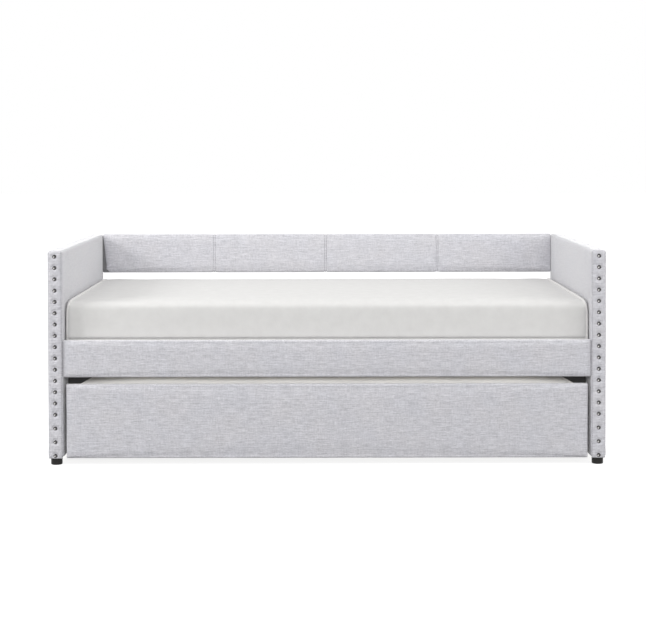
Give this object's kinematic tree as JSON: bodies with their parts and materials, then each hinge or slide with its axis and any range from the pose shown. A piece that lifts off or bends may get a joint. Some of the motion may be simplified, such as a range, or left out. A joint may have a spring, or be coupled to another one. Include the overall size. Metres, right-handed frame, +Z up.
{
  "type": "trundle bed",
  "caption": "Upholstered twin daybed with nailhead-trimmed arms, a low back rail, a mattress, and a roll-out trundle bed under it.",
  "frame": {"origin": "on the floor, at the centre of the bed's footprint with the trundle pushed in", "axes": "+X along the bed to the right as seen from the front, -Y out of the front, where the trundle rolls, +Z up"},
  "size_m": [2.05, 1.049, 0.788],
  "materials": {
    "upholstery": "light grey heathered linen-look weave over foam",
    "nailheads": "dark gunmetal domes",
    "frame_timber": "sawn softwood, unfinished",
    "slat_timber": "planed softwood",
    "box_board": "light grey laminated board",
    "black_steel": "black powder coat",
    "plated_steel": "zinc plate",
    "foot_plastic": "black moulded",
    "wheel_plastic": "black moulded, lightly scuffed tread",
    "mattress_fabric": "white knitted ticking"
  },
  "bodies": {
    "daybed": {"left_arm_frame": "frame_timber", "right_arm_frame": "frame_timber", "left_arm_cover": "upholstery", "right_arm_cover": "upholstery", "left_arm_nailheads": "nailheads", "right_arm_nailheads": "nailheads", "front_left_foot": "foot_plastic", "front_right_foot": "foot_plastic", "rear_left_foot": "foot_plastic", "rear_right_foot": "foot_plastic", "front_rail_board": "frame_timber", "front_rail_cover": "upholstery", "rear_rail_board": "frame_timber", "rear_rail_cover": "upholstery", "back_rail_board": "frame_timber", "back_rail_cover": "upholstery", "rail_end_plates": "plated_steel", "rail_hook_screws": "plated_steel", "front_left_bearer_bracket": "black_steel", "front_right_bearer_bracket": "black_steel", "rear_left_bearer_bracket": "black_steel", "rear_right_bearer_bracket": "black_steel", "front_bearer": "black_steel", "rear_bearer": "black_steel", "deck_slat_01": "slat_timber", "deck_slat_02": "slat_timber", "deck_slat_03": "slat_timber", "deck_slat_04": "slat_timber", "deck_slat_05": "slat_timber", "deck_slat_06": "slat_timber", "deck_slat_07": "slat_timber", "deck_slat_08": "slat_timber", "deck_slat_09": "slat_timber", "deck_slat_10": "slat_timber", "deck_slat_11": "slat_timber", "deck_slat_12": "slat_timber", "bracket_bolts": "plated_steel", "deck_slat_screws": "plated_steel", "mattress": "mattress_fabric"},
    "trundle": {"trundle_front_board": "frame_timber", "trundle_front_cover": "upholstery", "trundle_left_side": "box_board", "trundle_right_side": "box_board", "trundle_back_board": "box_board", "trundle_corner_blocks": "frame_timber", "trundle_front_ledger": "frame_timber", "trundle_back_ledger": "frame_timber", "trundle_slats": "slat_timber", "trundle_frame_screws": "plated_steel", "front_left_caster_fork": "black_steel", "front_right_caster_fork": "black_steel", "rear_left_caster_fork": "black_steel", "rear_right_caster_fork": "black_steel", "caster_axles": "plated_steel", "caster_screws": "plated_steel", "trundle_mattress": "mattress_fabric"},
    "front_left_wheel": {"front_left_caster_wheel": "wheel_plastic"},
    "front_right_wheel": {"front_right_caster_wheel": "wheel_plastic"},
    "rear_left_wheel": {"rear_left_caster_wheel": "wheel_plastic"},
    "rear_right_wheel": {"rear_right_caster_wheel": "wheel_plastic"}
  },
  "joints": [
    {"name": "trundle_slide", "type": "slide", "parent": "daybed", "child": "trundle", "axis": [0, -1, 0], "range_m": [0, 1.05]},
    {"name": "front_left_wheel_spin", "type": "hinge", "parent": "trundle", "child": "front_left_wheel", "pos_m": [-0.893, -0.3725, 0.025], "axis": [1, 0, 0], "continuous": true},
    {"name": "front_right_wheel_spin", "type": "hinge", "parent": "trundle", "child": "front_right_wheel", "pos_m": [0.893, -0.3725, 0.025], "axis": [1, 0, 0], "continuous": true},
    {"name": "rear_left_wheel_spin", "type": "hinge", "parent": "trundle", "child": "rear_left_wheel", "pos_m": [-0.893, 0.3815, 0.025], "axis": [1, 0, 0], "continuous": true},
    {"name": "rear_right_wheel_spin", "type": "hinge", "parent": "trundle", "child": "rear_right_wheel", "pos_m": [0.893, 0.3815, 0.025], "axis": [1, 0, 0], "continuous": true}
  ],
  "couplings": [
    {"joint": "front_left_wheel_spin", "follows": "trundle_slide", "rad_per_m": 40},
    {"joint": "front_right_wheel_spin", "follows": "trundle_slide", "rad_per_m": 40},
    {"joint": "rear_left_wheel_spin", "follows": "trundle_slide", "rad_per_m": 40},
    {"joint": "rear_right_wheel_spin", "follows": "trundle_slide", "rad_per_m": 40}
  ]
}
